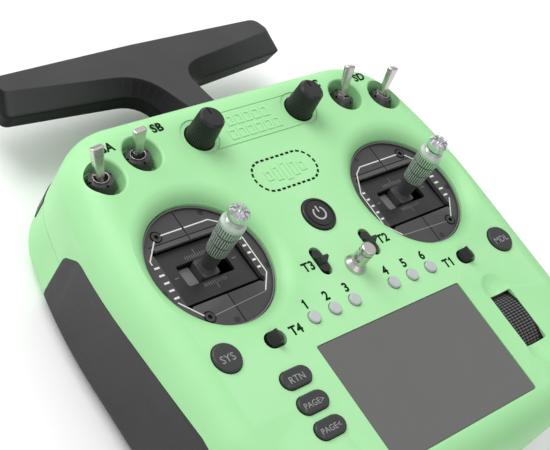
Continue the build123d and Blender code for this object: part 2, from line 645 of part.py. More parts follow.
def trim_lever(centre, along_x):
    # built rocking along X about a pin along Y, then turned for the tall ones
    length, width, skirt_length, skirt_width = (7.0, 5.8, 12.6, 8.2) if along_x else (9.4, 4.6, 15.4, 7.4)
    cap = pill(length, width, 51.6, 56.2)
    skirt = rounded_block(skirt_length, skirt_width, 1.0, 51.2, 52.4)
    stem = block(-1.6, 1.6, -1.6, 1.6, TRIM_PIVOT_Z, 52)
    pin = rod_y(1.8, -3, 3, 0, TRIM_PIVOT_Z)
    ridge = make_face(Polyline((-1.9, 56.0), (1.9, 56.0), (0.5, 59.2), (-0.5, 59.2), close=True))
    fin_width = width - 0.7
    fin = Pos(0, fin_width / 2, 0) * extrude(Plane.XZ * ridge, fin_width)
    lever = cap + skirt + stem + pin + fin
    if not along_x:
        lever = Rot(0, 0, 90) * lever
    return Pos(centre[0], centre[1], 0) * lever


def round_key(radius, x, y, top, crown):
    cap = rod(radius, 51.5, top, x, y)
    cap = fillet(cap.edges().group_by(Axis.Z)[-1], crown)
    return cap + rod(radius + 1.0, 50.9, 52.5, x, y)


def pill_key(y):
    cap = pill(*PILL_KEY, 51.5, 57.2, -KEY_X, y)
    cap = fillet(cap.edges().group_by(Axis.Z)[-1], 0.7)
    return cap + pill(PILL_KEY[0] + 1.6, PILL_KEY[1] + 1.6, 50.9, 52.5, -KEY_X, y)


def power_button():
    cap = rod(POWER_RADIUS, 51.5, 57.0, 0, POWER_Y)
    cap = fillet(cap.edges().group_by(Axis.Z)[-1], 0.6)
    cap = cap - (rod(6.1, 56.7, ABOVE, 0, POWER_Y) - rod(5.5, 56.7, ABOVE, 0, POWER_Y))
    return cap + rod(POWER_RADIUS + 1.2, 50.9, 52.5, 0, POWER_Y)


def scroll_wheel():
    half = WHEEL_WIDTH / 2
    disc = Rot(0, 90, 0) * extrude(star_face(WHEEL_RADIUS, WHEEL_RADIUS - 0.4, WHEEL_RIBS), WHEEL_WIDTH)
    disc = Pos(-half, 0, 0) * disc
    disc = disc - rod_x(AXLE_RADIUS + RUNNING, -20, 20, 0, 0)
    return Pos(WHEEL_X, WHEEL_Y, WHEEL_Z) * disc


def wheel_axle():
    low = WHEEL_X - WHEEL_WIDTH / 2
    high = WHEEL_X + WHEEL_WIDTH / 2
    axle = rod_x(AXLE_RADIUS, low - 1.5, high + 1.5, WHEEL_Y, WHEEL_Z)
    for x in (low - 2.6, high + 2.6):
        axle = axle + block(x - 1.4, x + 1.4, WHEEL_Y - 3.0, WHEEL_Y + 3.0, WHEEL_Z - 3.4, WHEEL_Z + 3.4)
    return axle


def shoulder_button(side):
    outer = CORNER_RADIUS + SHOULDER_OUT
    cap = shoulder_shape(side, SHOULDER_WIDTH, CORNER_RADIUS - 5.5, outer, SHOULDER_LOW, SHOULDER_TOP)
    flange = shoulder_shape(side, SHOULDER_WIDTH + 2.4, CORNER_RADIUS - 5.5, CORNER_RADIUS - WALL - FIT,
                            SHOULDER_LOW - 1.2, SHOULDER_TOP + 1.2)
    return cap + flange


def strap_hook():
    base = cone(4.6, 4.3, FACE_Z, FACE_Z + 1.0) + cone(4.3, 3.0, FACE_Z + 1.0, FACE_Z + 2.6)
    post = rod(3.0, FACE_Z + 2.5, FACE_Z + 8.6) + rod(2.4, FACE_Z + 8.5, FACE_Z + 9.5)
    cap = rod(3.0, FACE_Z + 9.3, FACE_Z + 11.3)
    hook = base + post + fillet(cap.edges().group_by(Axis.Z)[-1], 0.8)
    for x in (-3.8, 3.8):
        hook = hook - Pos(x, 0, FACE_Z + EYE_HEIGHT) * Box(3, 8, 4.6)
    hook = hook + rod(1.55, 49, FACE_Z + 1)
    return Pos(0, HOOK_Y, 0) * (hook - rod_x(1.6, -6, 6, 0, FACE_Z + EYE_HEIGHT))


def edge_sockets():
    port = rounded_y(8.9, 3.2, 1.55, 74.0, HALF_HEIGHT - 0.4, SOCKET_X, SOCKET_Z)
    port = port - rounded_y(8.3, 2.6, 1.25, 80.0, 100, SOCKET_X, SOCKET_Z)
    port = port + block(SOCKET_X - 3.3, SOCKET_X + 3.3, 79, 87, SOCKET_Z - 0.35, SOCKET_Z + 0.35)
    jack = rod_y(JACK_RADIUS, 73.0, JACK_FRONT, -SOCKET_X, SOCKET_Z)
    jack = jack - rod_y(1.8, JACK_FRONT - JACK_DEPTH, 100, -SOCKET_X, SOCKET_Z)
    return Compound(children=[port, jack])


def battery_cells():
    cells = []
    for y in (-36.0, -56.5):
        cell = rod_x(CELL_RADIUS, -CELL_LENGTH / 2, CELL_LENGTH / 2 - 2, y, 12.1)
        cell = cell + rod_x(3.0, CELL_LENGTH / 2 - 2, CELL_LENGTH / 2, y, 12.1)
        cells.append(cell)
    return Compound(children=cells)


def speaker():
    cone_part = rod(SPEAKER_RADIUS, 3.2, 5.2, *SPEAKER) + cone(SPEAKER_RADIUS - 2, 7.0, 5.2, 9.0, *SPEAKER)
    return cone_part - cone(9.0, 3.0, 3.19, 6.5, *SPEAKER)


def build_parts():
    parts = {}
    parts["front_shell"] = front_shell()
    parts["rear_shell"] = rear_shell()
    parts["battery_door"] = battery_door()
    parts["module_bay_cover"] = module_bay_cover()
    parts["antenna_front_cover"] = antenna_half(True)
    parts["antenna_rear_cover"] = antenna_half(False)
    parts["antenna_element"] = antenna_element()
    parts["antenna_hinge_pin"] = rod_x(AXLE_RADIUS, -19.5, 19.5, HINGE_Y, HINGE_Z)
    parts["display_lens"] = display_lens()
    parts["display_module"] = display_module()
    parts["main_circuit_board"] = block(-26, 26, -16, 68, 24.5, 26.1)
    parts["keypad_board"] = keypad_board()
    parts["rf_module"] = block(-21, 21, BAY_LOW_Y + 3, BAY_TOP_Y - 3, 3.0, 21.0)
    parts["speaker"] = speaker()
    parts["edge_sockets"] = edge_sockets()
    parts["battery_cells"] = battery_cells()
    parts["scroll_wheel"] = scroll_wheel()
    parts["scroll_wheel_axle"] = wheel_axle()
    parts["neck_strap_hook"] = strap_hook()
    parts["case_screws"] = case_screws()
    parts["gimbal_screws"] = plate_screws()
    parts["toggle_switch_bodies"] = toggle_bodies()
    parts["toggle_dress_nuts"] = dress_nuts()
    parts["dial_potentiometers"] = dial_pots()
    left_plate = gimbal_place(-1) * ring_plate()
    right_plate = gimbal_place(1) * mirror(ring_plate(), Plane.YZ)
    parts["gimbal_ring_plates"] = Compound(children=[left_plate, right_plate])
    left_frame = gimbal_place(-1) * gimbal_frame()
    right_frame = gimbal_place(1) * mirror(gimbal_frame(), Plane.YZ)
    parts["gimbal_frames"] = Compound(children=[left_frame, right_frame])
    for side, word in ((-1, "left"), (1, "right")):
        parts[word + "_grip"] = grip(side)
        rest = Pos(side * GIMBAL_X, GIMBAL_Y, PIVOT_Z) * Rot(-STICK_REST, 0, 0) * Pos(0, 0, -PIVOT_Z)
        parts[word + "_gimbal_yoke"] = rest * gimbal_yoke()
        parts[word + "_stick_cradle"] = rest * stick_cradle()
        parts[word + "_stick_barrel"] = rest * stick_barrel()
        parts[word + "_stick_crown"] = rest * stick_crown()
        parts[word + "_dial_knob"] = dial_knob(side)
        parts[word + "_horizontal_trim"] = trim_lever((side * WIDE_TRIM[0], WIDE_TRIM[1]), True)
        parts[word + "_vertical_trim"] = trim_lever((side * TALL_TRIM[0], TALL_TRIM[1]), False)
        parts[word + "_shoulder_button"] = shoulder_button(side)
    for name in TOGGLES:
        parts["toggle_lever_" + name] = toggle_lever(name)
    for number, x in enumerate(FUNCTION_XS, 1):
        parts["function_button_%d" % number] = round_key(FUNCTION_RADIUS, x, FUNCTION_Y, 57.1, 0.5)
    parts["power_button"] = power_button()
    parts["system_key"] = round_key(ROUND_KEY_RADIUS, -ROUND_KEY_X, ROUND_KEY_Y, 57.2, 0.8)
    parts["model_key"] = round_key(ROUND_KEY_RADIUS, ROUND_KEY_X, ROUND_KEY_Y, 57.2, 0.8)
    for name, y in KEY_YS.items():
        parts[name] = pill_key(y)
    return parts


os.makedirs("parts", exist_ok=True)
for name, shape in build_parts().items():
    export_step(shape, os.path.join("parts", name + ".step"))
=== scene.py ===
import json
import math

import bmesh
import bpy
from mathutils import Matrix, Vector


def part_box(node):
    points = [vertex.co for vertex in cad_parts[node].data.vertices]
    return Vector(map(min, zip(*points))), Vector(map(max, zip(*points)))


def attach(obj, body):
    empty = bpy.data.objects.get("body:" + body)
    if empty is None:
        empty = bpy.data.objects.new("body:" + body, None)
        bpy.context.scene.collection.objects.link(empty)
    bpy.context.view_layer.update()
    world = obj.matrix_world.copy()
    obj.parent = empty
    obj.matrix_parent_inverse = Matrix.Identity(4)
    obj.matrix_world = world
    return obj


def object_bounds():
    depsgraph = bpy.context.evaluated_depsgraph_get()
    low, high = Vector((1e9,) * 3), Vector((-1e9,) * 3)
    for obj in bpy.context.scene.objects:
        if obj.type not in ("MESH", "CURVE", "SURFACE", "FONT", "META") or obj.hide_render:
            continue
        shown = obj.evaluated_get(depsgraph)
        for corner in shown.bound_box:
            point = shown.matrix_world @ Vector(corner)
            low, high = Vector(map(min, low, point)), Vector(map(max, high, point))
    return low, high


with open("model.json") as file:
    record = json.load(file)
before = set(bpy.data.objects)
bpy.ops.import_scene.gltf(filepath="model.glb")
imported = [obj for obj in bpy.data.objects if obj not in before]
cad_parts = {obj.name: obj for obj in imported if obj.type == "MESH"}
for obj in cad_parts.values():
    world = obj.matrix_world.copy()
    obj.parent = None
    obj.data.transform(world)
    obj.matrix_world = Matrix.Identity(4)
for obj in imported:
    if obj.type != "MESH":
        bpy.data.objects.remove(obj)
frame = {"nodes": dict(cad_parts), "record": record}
cad_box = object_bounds()
nodes = frame["nodes"]

MM = 0.001
FACE_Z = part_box("display_lens")[1].z + 0.3 * MM
PRINT_THICK = 0.04 * MM
PRINT_LIFT = 0.01 * MM
# Reach of the ambient occlusion mask that lays painted shade in fine grooves.
HOLLOW_SHADE_REACH = 0.6 * MM


def srgb(red, green, blue):
    def linear(value):
        value = value / 255.0
        return value / 12.92 if value <= 0.04045 else ((value + 0.055) / 1.055) ** 2.4
    return (linear(red), linear(green), linear(blue), 1.0)


# ---------------------------------------------------------------- materials

def mixed(tree, base, other, factor_socket):
    mix = tree.nodes.new("ShaderNodeMix")
    mix.data_type = "RGBA"
    mix.inputs["A"].default_value = base
    mix.inputs["B"].default_value = other
    tree.links.new(factor_socket, mix.inputs["Factor"])
    return mix.outputs["Result"]


def blended(tree, socket, other, factor_socket):
    mix = tree.nodes.new("ShaderNodeMix")
    mix.data_type = "RGBA"
    tree.links.new(socket, mix.inputs["A"])
    mix.inputs["B"].default_value = other
    tree.links.new(factor_socket, mix.inputs["Factor"])
    return mix.outputs["Result"]


def noise_socket(tree, scale, detail=3.0, stretch=None):
    coords = tree.nodes.new("ShaderNodeTexCoord")
    source = coords.outputs["Object"]
    if stretch:
        mapping = tree.nodes.new("ShaderNodeMapping")
        mapping.inputs["Scale"].default_value = stretch
        tree.links.new(source, mapping.inputs["Vector"])
        source = mapping.outputs["Vector"]
    noise = tree.nodes.new("ShaderNodeTexNoise")
    noise.inputs["Scale"].default_value = scale
    noise.inputs["Detail"].default_value = detail
    tree.links.new(source, noise.inputs["Vector"])
    return noise.outputs["Fac"]


def ranged(tree, socket, low, high, from_low=0.3, from_high=0.7):
    node = tree.nodes.new("ShaderNodeMapRange")
    node.inputs["From Min"].default_value = from_low
    node.inputs["From Max"].default_value = from_high
    node.inputs["To Min"].default_value = low
    node.inputs["To Max"].default_value = high
    tree.links.new(socket, node.inputs["Value"])
    return node.outputs["Result"]


def cross_grooves(material, pitch, share, colour):
    """Painted shade: dark stripes every pitch metres along X, each taking that share of the pitch, standing in for
    the shade in grooves.
    """
    tree = material.node_tree
    shader = tree.nodes["Principled BSDF"]
    coords = tree.nodes.new("ShaderNodeTexCoord")
    split = tree.nodes.new("ShaderNodeSeparateXYZ")
    tree.links.new(coords.outputs["Object"], split.inputs["Vector"])
    socket = split.outputs["X"]
    for operation, value in (("DIVIDE", pitch), ("FRACT", 0.0), ("LESS_THAN", share)):
        step = tree.nodes.new("ShaderNodeMath")
        step.operation = operation
        step.inputs[1].default_value = value
        tree.links.new(socket, step.inputs[0])
        socket = step.outputs["Value"]
    source = shader.inputs["Base Color"].links[0].from_socket
    tree.links.new(blended(tree, source, colour, socket), shader.inputs["Base Color"])
    return material


def finish_material(name, color, shade, roughness, rough_spread=0.05, grain=1400.0, bump=0.08, bump_size=0.00006,
                    blotch=45.0, wear=None, wear_amount=0.5, metallic=0.0, coat=0.0, stretch=None, specular=0.5,
                    soften=0.0, painted_side_shade=None, painted_hollow_shade=None):
    """A procedural finish: blotchy colour, grain in roughness and bump, and lighter worn edges.

    soften is the radius, in metres, to which sharp edges look rounded. The colour for the sides is painted shade:
    smooth sides, where the surface does not look along +Z, take it so that they look shaded. The colour for hollows
    is painted shade laid in the bottom of fine grooves, where an ambient occlusion mask finds them.
    """
    material = bpy.data.materials.new(name)
    material.use_nodes = True
    tree = material.node_tree
    shader = tree.nodes["Principled BSDF"]
    shader.inputs["Metallic"].default_value = metallic
    shader.inputs["Coat Weight"].default_value = coat
    shader.inputs["Specular IOR Level"].default_value = specular
    colour = mixed(tree, color, shade, ranged(tree, noise_socket(tree, blotch, 4.0), 0.0, 1.0))
    # Painted shade: faces that do not look along +Z are darkened towards the side colour, to look shaded.
    if painted_side_shade:
        coords = tree.nodes.new("ShaderNodeTexCoord")
        split = tree.nodes.new("ShaderNodeSeparateXYZ")
        tree.links.new(coords.outputs["Normal"], split.inputs["Vector"])
        colour = blended(tree, colour, painted_side_shade, ranged(tree, split.outputs["Z"], 1.0, 0.0, 0.72, 0.93))
    if wear:
        geometry = tree.nodes.new("ShaderNodeNewGeometry")
        colour = blended(tree, colour, wear,
                         ranged(tree, geometry.outputs["Pointiness"], 0.0, wear_amount, 0.52, 0.62))
    # Painted shade: where an ambient occlusion mask finds a hollow, the colour darkens towards the hollow colour.
    if painted_hollow_shade:
        hollow_shade_mask = tree.nodes.new("ShaderNodeAmbientOcclusion")
        hollow_shade_mask.samples = 8
        hollow_shade_mask.only_local = True
        hollow_shade_mask.inputs["Distance"].default_value = HOLLOW_SHADE_REACH
        colour = blended(tree, colour, painted_hollow_shade, ranged(tree, hollow_shade_mask.outputs["AO"], 1.0, 0.0, 0.55, 0.95))
    tree.links.new(colour, shader.inputs["Base Color"])
    fine = noise_socket(tree, grain, 2.0, stretch)
    tree.links.new(ranged(tree, fine, roughness - rough_spread, roughness + rough_spread), shader.inputs["Roughness"])
    bumper = tree.nodes.new("ShaderNodeBump")
    bumper.inputs["Strength"].default_value = bump
    bumper.inputs["Distance"].default_value = bump_size
    tree.links.new(fine, bumper.inputs["Height"])
    if soften:
        rounding = tree.nodes.new("ShaderNodeBevel")
        rounding.inputs["Radius"].default_value = soften
        tree.links.new(rounding.outputs["Normal"], bumper.inputs["Normal"])
    tree.links.new(bumper.outputs["Normal"], shader.inputs["Normal"])
    return material


def ink(name, color, shade, roughness=0.5, specular=0.5):
    return finish_material(name, color, shade, roughness=roughness, rough_spread=0.06, grain=1500.0, bump=0.1,
                           bump_size=0.00003, specular=specular)


CASE = finish_material("case_plastic", srgb(154, 214, 152), srgb(158, 218, 156), roughness=0.5,
                       rough_spread=0.06, grain=2200.0, bump=0.18, bump_size=0.00006,
                       wear=srgb(190, 236, 188), wear_amount=0.25)
RUBBER = finish_material("grip_rubber", srgb(44, 44, 45), srgb(50, 50, 51), roughness=0.72,
                         rough_spread=0.08, grain=1500.0, bump=0.5, bump_size=0.00012,
                         wear=srgb(84, 84, 84), wear_amount=0.4)
# Painted shade: the antenna's sides get a much darker colour than its face, to look shaded.
ANTENNA = finish_material("antenna_plastic", srgb(60, 60, 61), srgb(66, 66, 67), roughness=0.42,
                          rough_spread=0.08, grain=1800.0, bump=0.3, bump_size=0.00008,
                          wear=srgb(88, 88, 88), wear_amount=0.08, soften=0.0011, specular=0.15,
                          painted_side_shade=srgb(14, 14, 15))
# Painted shade: the rear cover is the antenna plastic made near black, to look as shaded as it faces down.
ANTENNA_BACK_SHADED = finish_material("antenna_back_painted_shade", srgb(12, 12, 13), srgb(16, 16, 17), roughness=0.42,
                               rough_spread=0.08, grain=1800.0, bump=0.3, bump_size=0.00008,
                               wear=srgb(40, 40, 40), wear_amount=0.1, soften=0.0011, specular=0.08)
BLACK = finish_material("black_plastic", srgb(20, 20, 21), srgb(26, 26, 27), roughness=0.4,
                        rough_spread=0.08, grain=1800.0, bump=0.2, bump_size=0.00006, wear=srgb(52, 52, 52),
                        wear_amount=0.4)
CHARCOAL = finish_material("charcoal_plastic", srgb(59, 58, 59), srgb(65, 64, 65), roughness=0.48,
                           rough_spread=0.07, grain=1700.0, bump=0.25, bump_size=0.00006,
                           wear=srgb(98, 97, 98), wear_amount=0.4)
KEYS = finish_material("key_plastic", srgb(46, 47, 48), srgb(52, 53, 54), roughness=0.48, rough_spread=0.08,
                       grain=1600.0, bump=0.2, bump_size=0.00006, wear=srgb(86, 88, 88), wear_amount=0.4)
BUTTONS = finish_material("button_plastic", srgb(172, 178, 178), srgb(180, 186, 186), roughness=0.42,
                          rough_spread=0.06, grain=1500.0, bump=0.15, bump_size=0.00005,
                          wear=srgb(206, 210, 210), wear_amount=0.4)
GLASS = finish_material("display_glass", srgb(89, 89, 88), srgb(92, 92, 91), roughness=0.22,
                        rough_spread=0.02, grain=600.0, bump=0.01, bump_size=0.00002, blotch=12.0, coat=0.3)
BOARD = finish_material("circuit_board", srgb(20, 62, 38), srgb(26, 74, 44), roughness=0.4,
                        rough_spread=0.08, grain=900.0, bump=0.2, bump_size=0.00005)
STEEL = finish_material("steel", srgb(150, 150, 152), srgb(168, 168, 170), roughness=0.32,
                        rough_spread=0.08, grain=900.0, bump=0.2, bump_size=0.00003, metallic=1.0,
                        stretch=(1.0, 1.0, 6.0))
NICKEL = finish_material("nickel", srgb(196, 193, 190), srgb(208, 205, 202), roughness=0.27,
                         rough_spread=0.06, grain=900.0, bump=0.15, bump_size=0.00003, metallic=1.0,
                         stretch=(5.0, 5.0, 0.6), soften=0.0002)
NUT = finish_material("dark_nut", srgb(24, 24, 26), srgb(32, 32, 34), roughness=0.33, rough_spread=0.08,
                      grain=1200.0, bump=0.15, bump_size=0.00004, wear=srgb(70, 70, 72), wear_amount=0.4,
                      specular=0.6)
ALUMINIUM = finish_material("aluminium", srgb(206, 208, 209), srgb(226, 227, 228), roughness=0.22,
                            rough_spread=0.07, grain=700.0, bump=0.15, bump_size=0.00003, metallic=1.0,
                            stretch=(1.0, 1.0, 9.0), soften=0.00015)
# Painted shade, green-grey, darkens the bottoms of the knurled grooves.
KNURLED = finish_material("knurled_aluminium", srgb(196, 208, 199), srgb(208, 218, 210), roughness=0.36,
                          rough_spread=0.07, grain=700.0, bump=0.15, bump_size=0.00003, metallic=0.6,
                          painted_hollow_shade=srgb(44, 58, 48))
# Painted shade: the wheel's hollows darken to near black where the ambient occlusion mask finds them.
WHEEL = finish_material("wheel_plastic", srgb(62, 60, 62), srgb(68, 66, 68), roughness=0.5,
                        rough_spread=0.07, grain=1700.0, bump=0.2, bump_size=0.00006,
                        wear=srgb(104, 103, 104), wear_amount=0.5, painted_hollow_shade=srgb(8, 8, 8))
# Painted shade: dark stripes across the wheel stand in for the shade in its grooves.
cross_grooves(WHEEL, pitch=0.00195, share=0.3, colour=srgb(14, 14, 14))
CELL = finish_material("cell_wrap", srgb(40, 90, 170), srgb(44, 96, 178), roughness=0.3, rough_spread=0.05,
                       grain=900.0, bump=0.05, bump_size=0.00003)
INK_DARK = ink("ink_dark", srgb(8, 30, 12), srgb(12, 36, 16), roughness=0.6, specular=0.1)
INK_LIGHT = ink("ink_light", srgb(216, 216, 214), srgb(206, 206, 204))
# Grey ink for printed marks. It also paints the highlight ring on the gimbal rims.
INK_GREY_AND_RIM_HIGHLIGHT = ink("ink_grey_and_rim_highlight", srgb(142, 142, 142), srgb(130, 130, 130))
INK_SOFT = ink("ink_soft", srgb(176, 176, 176), srgb(164, 164, 164))
SHUTTER = finish_material("shutter_plastic", srgb(106, 105, 106), srgb(114, 113, 114), roughness=0.5,
                          rough_spread=0.06, grain=1500.0, bump=0.2, bump_size=0.00004)

SLOT_MATERIALS = {
    "case_plastic": CASE, "grip_rubber": RUBBER, "antenna_plastic": ANTENNA, "black_plastic": BLACK,
    "charcoal_plastic": CHARCOAL, "key_plastic": KEYS, "button_plastic": BUTTONS, "display_glass": GLASS,
    "circuit_board": BOARD, "steel": STEEL, "nickel": NICKEL, "dark_nut": NUT, "aluminium": ALUMINIUM,
    "cell_wrap": CELL,
}

# The antenna's rear cover takes the painted-shade copy of the antenna plastic.
NODE_MATERIALS = {
    "antenna_rear_cover": ANTENNA_BACK_SHADED, "left_stick_barrel": KNURLED, "right_stick_barrel": KNURLED,
    "scroll_wheel": WHEEL,
}

for part in frame["record"]["subparts"]:
    mesh = nodes[part["node"]].data
    mesh.materials.clear()
    mesh.materials.append(NODE_MATERIALS.get(part["node"], SLOT_MATERIALS[part["material_slot"]]))


# ---------------------------------------------------------------- places taken from the frame

RINGS_LOW, RINGS_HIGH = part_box("gimbal_ring_plates")
RING_RADIUS = (RINGS_HIGH.y - RINGS_LOW.y) / 2
GIMBAL_X = RINGS_HIGH.x - RING_RADIUS
GIMBAL_Y = (RINGS_LOW.y + RINGS_HIGH.y) / 2
RIM_HEIGHT = 0.8 * MM
PLATE_Z = RINGS_HIGH.z - RIM_HEIGHT
PIVOT_Z = 36.0 * MM
YOKE_TOP = 47.5 * MM
STICK_REST = math.radians(3.0)


# ---------------------------------------------------------------- small mesh builders

def piece(name, mesh, material, body):
    mesh.materials.clear()
    mesh.materials.append(material)
    thing = bpy.data.objects.new(name, mesh)
    bpy.context.scene.collection.objects.link(thing)
    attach(thing, body)
    return thing


def mesh_from(name, build):
    work = bmesh.new()
    build(work)
    bmesh.ops.recalc_face_normals(work, faces=work.faces)
    mesh = bpy.data.meshes.new(name)
    work.to_mesh(mesh)
    work.free()
    return mesh


def add_ribbon(work, points, width, z_low, thick, closed=False):
    """A flat printed line of even width along a path of (x, y) points, with mitred corners."""
    path = [Vector((x, y)) for x, y in points]
    count = len(path)
    lower = []
    upper = []
    for i, point in enumerate(path):
        before = path[i - 1] if (i > 0 or closed) else None
        after = path[(i + 1) % count] if (i < count - 1 or closed) else None
        ahead = (after - point).normalized() if after is not None else (point - before).normalized()
        behind = (point - before).normalized() if before is not None else ahead
        tangent = (ahead + behind).normalized()
        normal = Vector((-tangent.y, tangent.x))
        reach = width / 2 / max(0.4, normal.dot(Vector((-ahead.y, ahead.x))))
        for side in (-1, 1):
            spot = point + normal * reach * side
            lower.append(work.verts.new((spot.x, spot.y, z_low)))
            upper.append(work.verts.new((spot.x, spot.y, z_low + thick)))
    last = count if closed else count - 1
    for i in range(last):
        a = 2 * i
        b = 2 * ((i + 1) % count)
        work.faces.new((upper[a], upper[a + 1], upper[b + 1], upper[b]))
        work.faces.new((lower[a], lower[b], lower[b + 1], lower[a + 1]))
        work.faces.new((lower[a], upper[a], upper[b], lower[b]))
        work.faces.new((lower[a + 1], lower[b + 1], upper[b + 1], upper[a + 1]))
    if not closed:
        work.faces.new((lower[0], lower[1], upper[1], upper[0]))
        end = 2 * count - 2
        work.faces.new((lower[end], upper[end], upper[end + 1], lower[end + 1]))


def add_disc(work, x, y, radius, z_low, thick, sides=20):
    ring = []
    for z in (z_low, z_low + thick):
        ring.append([work.verts.new((x + radius * math.cos(2 * math.pi * i / sides),
                                     y + radius * math.sin(2 * math.pi * i / sides), z)) for i in range(sides)])
    work.faces.new(ring[1])
    work.faces.new(list(reversed(ring[0])))
    for i in range(sides):
        j = (i + 1) % sides
        work.faces.new((ring[0][i], ring[0][j], ring[1][j], ring[1][i]))


def arc_points(x, y, radius, start, end, steps=24):
    spots = []
    for i in range(steps + 1):
        angle = math.radians(start + (end - start) * i / steps)
        spots.append((x + radius * math.cos(angle), y + radius * math.sin(angle)))
    return spots


def stadium_path(width, height, y, steps=20):
    radius = height / 2
    run = width / 2 - radius
    return (arc_points(run, y, radius, -90, 90, steps) + arc_points(-run, y, radius, 90, 270, steps))


def walk(points, start, end):
    """The stretch of a closed path between two distances along it."""
    loop = [Vector(p) for p in points] + [Vector(points[0])]
    spots = []
    travelled = 0.0
    for a, b in zip(loop, loop[1:]):
        length = (b - a).length
        if length < 1e-9:
            continue
        for target in (start, end):
            if travelled <= target < travelled + length:
                spots.append((target, a.lerp(b, (target - travelled) / length)))
        travelled += length
        if start < travelled < end:
            spots.append((travelled, b))
    spots.sort(key=lambda item: item[0])
    return [(spot.x, spot.y) for distance, spot in spots]


def path_length(points):
    loop = [Vector(p) for p in points] + [Vector(points[0])]
    return sum((b - a).length for a, b in zip(loop, loop[1:]))


def add_flag(mesh, size):
    """The font draws a one as a bare bar, so this gives the last one its flag."""
    right = max(vert.co.x for vert in mesh.vertices)
    top = max(vert.co.y for vert in mesh.vertices)
    work = bmesh.new()
    work.from_mesh(mesh)
    flag = [(right - 0.05 * size, top - 0.06 * size), (right - 0.27 * size, top - 0.21 * size)]
    add_ribbon(work, flag, 0.11 * size, -PRINT_THICK / 2, PRINT_THICK)
    work.to_mesh(mesh)
    work.free()


def legend(name, text, x, y, z, size, body, material, weight=0.035, spread=1.04):
    """A printed legend, centred on (x, y), that reads from the face's own foot."""
    curve = bpy.data.curves.new(name, "FONT")
    curve.body = text
    curve.size = size
    curve.offset = weight * size
    curve.extrude = PRINT_THICK / 2
    curve.resolution_u = 4
    curve.space_character = spread
    curve.align_x = "CENTER"
    curve.align_y = "CENTER"
    holder = bpy.data.objects.new(name + "_curve", curve)
    bpy.context.scene.collection.objects.link(holder)
    bpy.context.view_layer.update()
    mesh = bpy.data.meshes.new_from_object(holder)
    bpy.data.objects.remove(holder)
    bpy.data.curves.remove(curve)
    if text.endswith("1"):
        add_flag(mesh, size)
    mesh.transform(Matrix.Translation((x, y, z + PRINT_LIFT + PRINT_THICK / 2)))
    mesh.name = name
    return piece(name, mesh, material, body)


def centre(node):
    low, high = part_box(node)
    return (low + high) / 2, high.z


# ---------------------------------------------------------------- printing on the face

LETTER = 5.2 * MM
KEY_LEGEND_SHIFT = Vector((-0.4 * MM, -0.6 * MM))
KEY_LEGEND_WEIGHT = 0.004
SWITCH_LABELS = {"SA": (-66.6, 74.5), "SB": (-41.6, 77.0), "SC": (41.9, 77.0), "SD": (66.9, 74.5),
                 "T3": (-20.0, 4.0), "T2": (20.4, 3.6), "T1": (42.1, -15.9), "T4": (-42.2, -16.0)}
for text, (x, y) in SWITCH_LABELS.items():
    legend("legend_" + text, text, x * MM, y * MM, FACE_Z, LETTER, "body", INK_DARK)

DIGIT_RISE = 5.7 * MM
for number in range(1, 7):
    spot, top = centre("function_button_%d" % number)
    legend("legend_%d" % number, str(number), spot.x, spot.y + DIGIT_RISE, FACE_Z, LETTER, "body",
           INK_DARK)

KEY_LEGENDS = {"system_key": ("SYS", 4.1), "model_key": ("MDL", 3.9), "return_key": ("RTN", 3.7),
               "page_next_key": ("PAGE>", 3.1), "page_back_key": ("PAGE<", 3.1)}
for node, (text, size) in KEY_LEGENDS.items():
    spot, top = centre(node)
    legend("legend_" + node, text, spot.x + KEY_LEGEND_SHIFT.x, spot.y + KEY_LEGEND_SHIFT.y, top, size * MM, node,
           INK_GREY_AND_RIM_HIGHLIGHT, KEY_LEGEND_WEIGHT)


POWER_RING = 2.7 * MM
POWER_STROKE = 0.7 * MM
POWER_BAR_LOW = 0.5 * MM
POWER_BAR_HIGH = 3.3 * MM


def power_symbol(work):
    """A ring open at its top, with a short bar standing in the opening."""
    spot, top = centre("power_button")
    z = top + PRINT_LIFT
    ring = arc_points(spot.x, spot.y, POWER_RING, 125, 415)
    bar = [(spot.x, spot.y + POWER_BAR_LOW), (spot.x, spot.y + POWER_BAR_HIGH)]
    add_ribbon(work, ring, POWER_STROKE, z, PRINT_THICK)
    add_ribbon(work, bar, POWER_STROKE, z, PRINT_THICK)


piece("power_symbol", mesh_from("power_symbol", power_symbol), INK_SOFT, "power_button")

PILL_X = -0.5 * MM
PILL_Y = 44.0 * MM
PILL_LENGTH = 31.8 * MM
PILL_HEIGHT = 14.0 * MM
STITCHES = 30
STITCH_SHARE = 0.64
STITCH_WIDTH = 0.95 * MM


def stitched_outline(work):
    path = [(x + PILL_X, y) for x, y in stadium_path(PILL_LENGTH, PILL_HEIGHT, PILL_Y)]
    total = path_length(path)
    for i in range(STITCHES):
        start = total * i / STITCHES
        dash = walk(path, start, start + total / STITCHES * STITCH_SHARE)
        if len(dash) > 1:
            add_ribbon(work, dash, STITCH_WIDTH, FACE_Z + PRINT_LIFT, PRINT_THICK)


piece("stitched_outline", mesh_from("stitched_outline", stitched_outline), INK_DARK, "body")

EMBOSS = 0.32 * MM
EMBOSS_LINE = 0.75 * MM
EMBOSS_SINK = 0.02 * MM


def framed_bars(rows):
    """Raised outlines of plain upright bars, each (x, y, width, height) in millimetres."""
    def build(work):
        for x, y, width, height in rows:
            left = (x - width / 2) * MM
            right = (x + width / 2) * MM
            low = (y - height / 2) * MM
            high = (y + height / 2) * MM
            corners = [(left, low), (right, low), (right, high), (left, high)]
            add_ribbon(work, corners, EMBOSS_LINE, FACE_Z - EMBOSS_SINK, EMBOSS, closed=True)
    return build


